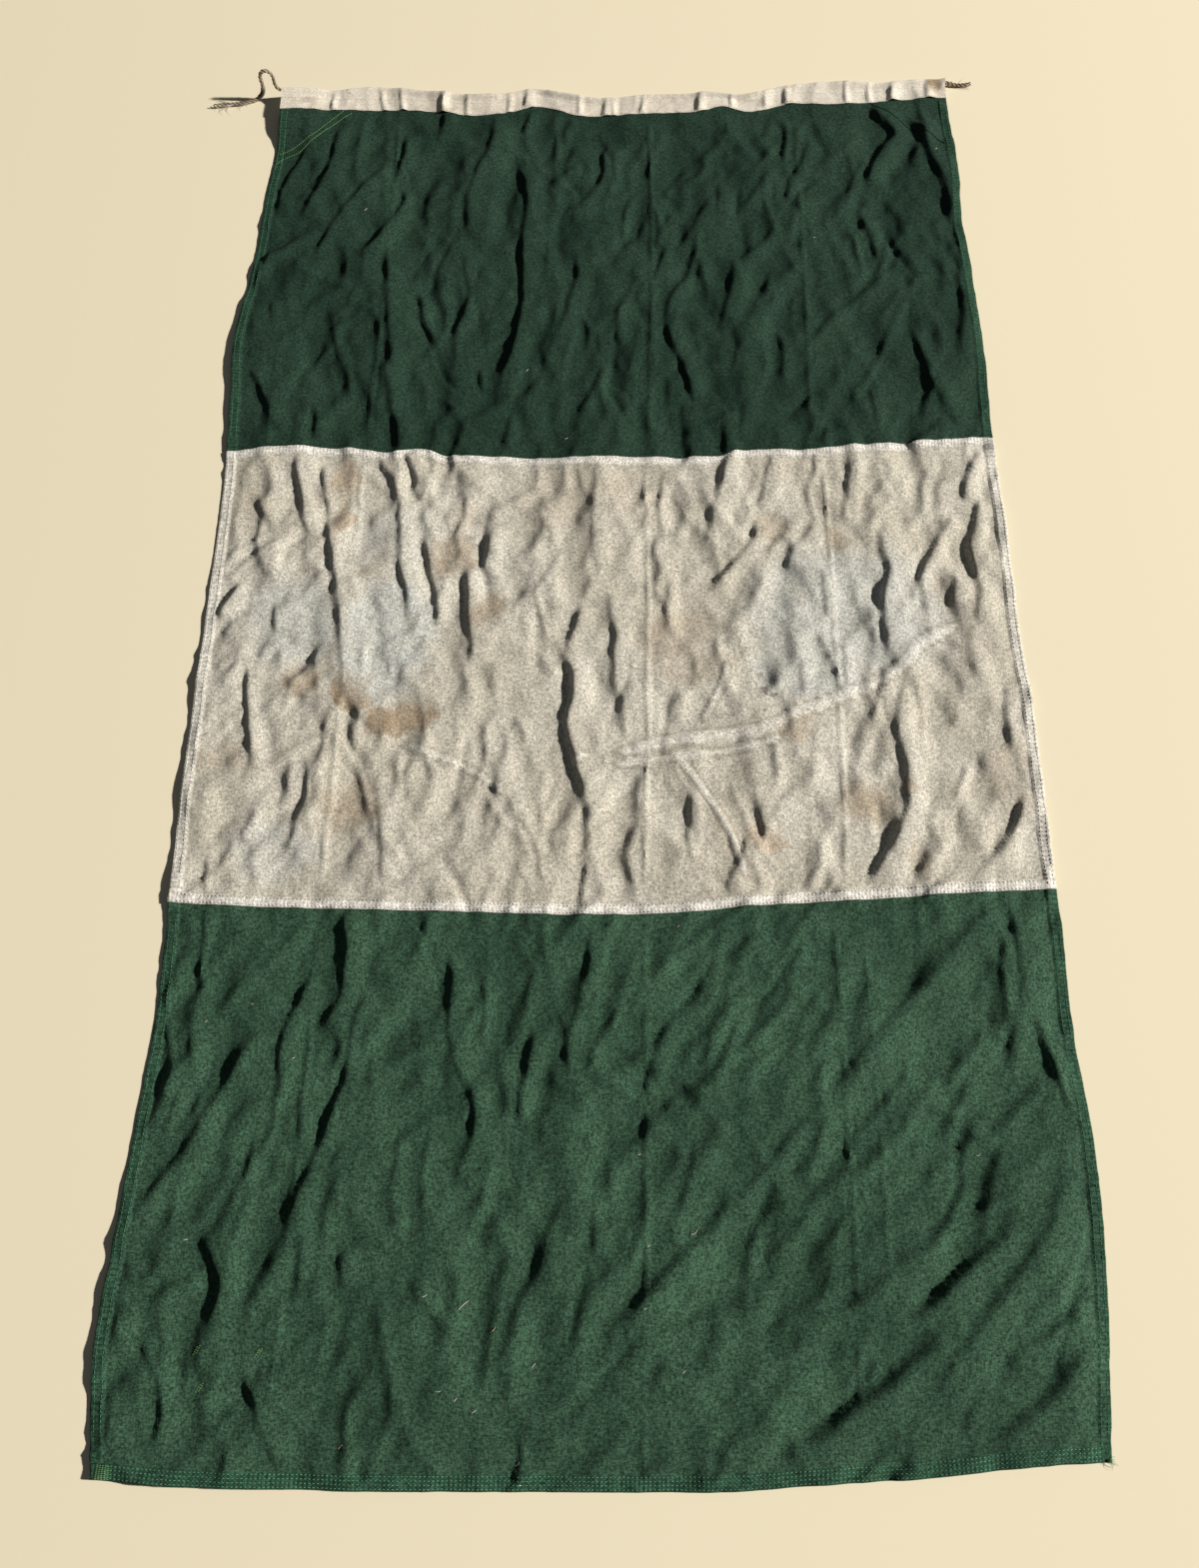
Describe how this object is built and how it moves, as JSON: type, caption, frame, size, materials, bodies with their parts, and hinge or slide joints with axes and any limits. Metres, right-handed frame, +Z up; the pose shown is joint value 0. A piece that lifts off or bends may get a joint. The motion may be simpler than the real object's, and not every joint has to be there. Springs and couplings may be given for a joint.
{
  "type": "tattered flag laid open",
  "caption": "Worn banded cloth flag in dark green and off-white, with a canvas heading and a hoist rope, lying open on the ground in its folds and creases.",
  "frame": {"origin": "on the ground under the middle of the cloth, the free rope ends left out", "axes": "+X along the heading towards the short rope end, +Y from the fly end towards the heading, +Z up from the ground"},
  "size_m": [1.0443, 1.7183, 0.0446],
  "materials": {
    "green_cloth": "matte woven cotton, faded and creased",
    "white_cloth": "matte linen-like weave, stained and greyed",
    "heading_canvas": "matte close canvas, soiled",
    "rope_fibre": "matte laid fibre rope, dirty and frayed"
  },
  "bodies": {
    "root": {"hoist_panel": "green_cloth", "centre_panel": "white_cloth", "fly_panel": "green_cloth", "heading": "heading_canvas", "corner_patch_left": "green_cloth", "corner_patch_right": "green_cloth", "hoist_rope": "rope_fibre", "rope_loop": "rope_fibre", "rope_end": "rope_fibre"}
  },
  "joints": []
}
